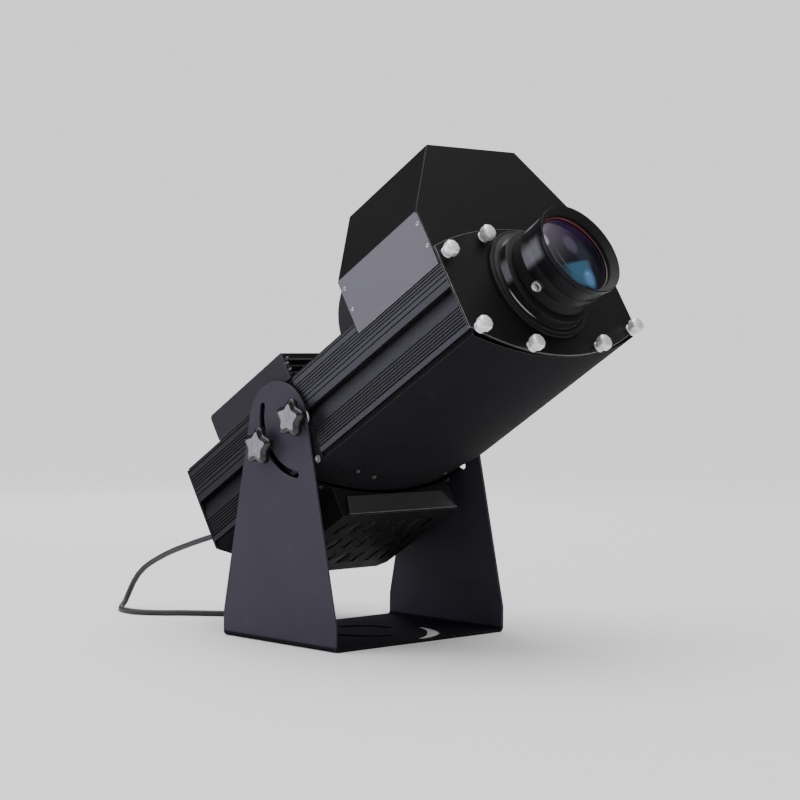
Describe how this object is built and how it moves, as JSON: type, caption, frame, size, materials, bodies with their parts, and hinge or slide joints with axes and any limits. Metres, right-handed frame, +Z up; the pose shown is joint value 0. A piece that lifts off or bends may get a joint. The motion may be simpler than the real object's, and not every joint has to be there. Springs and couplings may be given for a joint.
{
  "type": "water wave effect light",
  "caption": "Stage projector with a ribbed body and focusing lens that tilts in a bent steel yoke; glass wave wheels turn in the beam to throw moving water ripples.",
  "frame": {"origin": "centre of the yoke base's underside, on the surface it stands on or is bolted to", "axes": "+Z up; the beam leaves towards -Y and up; +X is across, along the tilt axis"},
  "size_m": [0.3186, 0.7309, 0.5746],
  "materials": {
    "black_sheet": "satin black powder coat",
    "grey_sheet": "fine-textured dark grey coat",
    "yoke_paint": "fine-textured black coat",
    "ribbed_black": "black anodised extrusion",
    "bright_metal": "bright turned",
    "dull_metal": "mill finish",
    "knob": "moulded black with worn tops",
    "lens_black": "black anodised, turned",
    "red": "red ring",
    "glass": "coated lens glass",
    "rubber": "matte black",
    "white_plastic": "nylon",
    "circuit": "circuit board"
  },
  "bodies": {
    "yoke": {"yoke_bracket": "yoke_paint", "mains_cord": "rubber", "cord_coil": "rubber", "mains_plug": "rubber"},
    "head": {"bottom_housing": "black_sheet", "housing_front_panel": "black_sheet", "front_bottom_shell": "black_sheet", "rear_bottom_shell": "black_sheet", "front_hood": "black_sheet", "hood_back_cover": "black_sheet", "front_top_plate": "black_sheet", "rear_top_plate": "black_sheet", "rear_hood": "black_sheet", "rear_end_plate": "black_sheet", "front_plate": "black_sheet", "hood_side_plate_left": "grey_sheet", "hood_side_plate_right": "grey_sheet", "rear_side_plate_left": "grey_sheet", "rear_side_plate_right": "grey_sheet", "front_extrusion_left": "ribbed_black", "front_extrusion_right": "ribbed_black", "rear_extrusion_left": "ribbed_black", "rear_extrusion_right": "ribbed_black", "mid_frame": "ribbed_black", "thumb_nut_1": "bright_metal", "thumb_nut_2": "bright_metal", "thumb_nut_3": "bright_metal", "thumb_nut_4": "bright_metal", "thumb_nut_5": "bright_metal", "thumb_nut_6": "bright_metal", "thumb_nut_7": "bright_metal", "thumb_nut_8": "bright_metal", "condenser_holder": "dull_metal", "led_heat_sink": "dull_metal", "driver_box": "dull_metal", "wheel_bracket_rear": "dull_metal", "wheel_bracket_front": "dull_metal", "wave_motor_rear": "dull_metal", "wave_motor_front": "dull_metal", "lens_mount": "lens_black", "condenser_lens": "glass", "front_gasket": "rubber", "cooling_fan": "rubber", "cord_gland": "rubber", "pivot_washer_left": "white_plastic", "pivot_washer_right": "white_plastic", "led_module": "circuit"},
    "pivot_knob_left": {"pivot_knob_left": "knob"},
    "pivot_knob_right": {"pivot_knob_right": "knob"},
    "clamp_knob_left": {"clamp_knob_left": "knob"},
    "clamp_knob_right": {"clamp_knob_right": "knob"},
    "focus": {"focus_barrel": "lens_black", "lens_hood": "lens_black", "lens_trim_ring": "red", "front_lens": "glass", "rear_lens": "glass"},
    "focus_screw": {"focus_screw": "dull_metal"},
    "wave_wheel_rear": {"wave_wheel_rear": "glass"},
    "wave_wheel_front": {"wave_wheel_front": "glass"},
    "fan_rotor": {"fan_rotor": "rubber"}
  },
  "joints": [
    {"name": "head_tilt", "type": "hinge", "parent": "yoke", "child": "head", "pos_m": [0, -0.033, 0.264], "axis": [-1, 0, 0], "range_deg": [-42, 54], "deforming": ["mains_cord"]},
    {"name": "pivot_knob_left_turn", "type": "hinge", "parent": "head", "child": "pivot_knob_left", "pos_m": [-0.14, -0.033, 0.264], "axis": [-1, 0, 0], "range_deg": [0, 360]},
    {"name": "clamp_knob_left_turn", "type": "hinge", "parent": "head", "child": "clamp_knob_left", "pos_m": [-0.14, 0.02255, 0.22929], "axis": [-1, 0, 0], "range_deg": [0, 360]},
    {"name": "pivot_knob_right_turn", "type": "hinge", "parent": "head", "child": "pivot_knob_right", "pos_m": [0.14, -0.033, 0.264], "axis": [1, 0, 0], "range_deg": [0, 360]},
    {"name": "clamp_knob_right_turn", "type": "hinge", "parent": "head", "child": "clamp_knob_right", "pos_m": [0.14, 0.02255, 0.22929], "axis": [1, 0, 0], "range_deg": [0, 360]},
    {"name": "focus_slide", "type": "slide", "parent": "head", "child": "focus", "axis": [0, -0.848, 0.5299], "range_m": [0, 0.02]},
    {"name": "focus_screw_turn", "type": "hinge", "parent": "head", "child": "focus_screw", "pos_m": [0, -0.30061, 0.43771], "axis": [-0.891, -0.2406, -0.385], "range_deg": [0, 360]},
    {"name": "wave_wheel_rear_turn", "type": "hinge", "parent": "head", "child": "wave_wheel_rear", "pos_m": [0, -0.14177, 0.42394], "axis": [0, -0.848, 0.5299], "continuous": true},
    {"name": "wave_wheel_front_turn", "type": "hinge", "parent": "head", "child": "wave_wheel_front", "pos_m": [0, -0.15534, 0.43242], "axis": [0, -0.848, 0.5299], "continuous": true},
    {"name": "fan_rotor_turn", "type": "hinge", "parent": "head", "child": "fan_rotor", "pos_m": [0, 0.06558, 0.24249], "axis": [0, 0.5299, 0.848], "continuous": true}
  ]
}
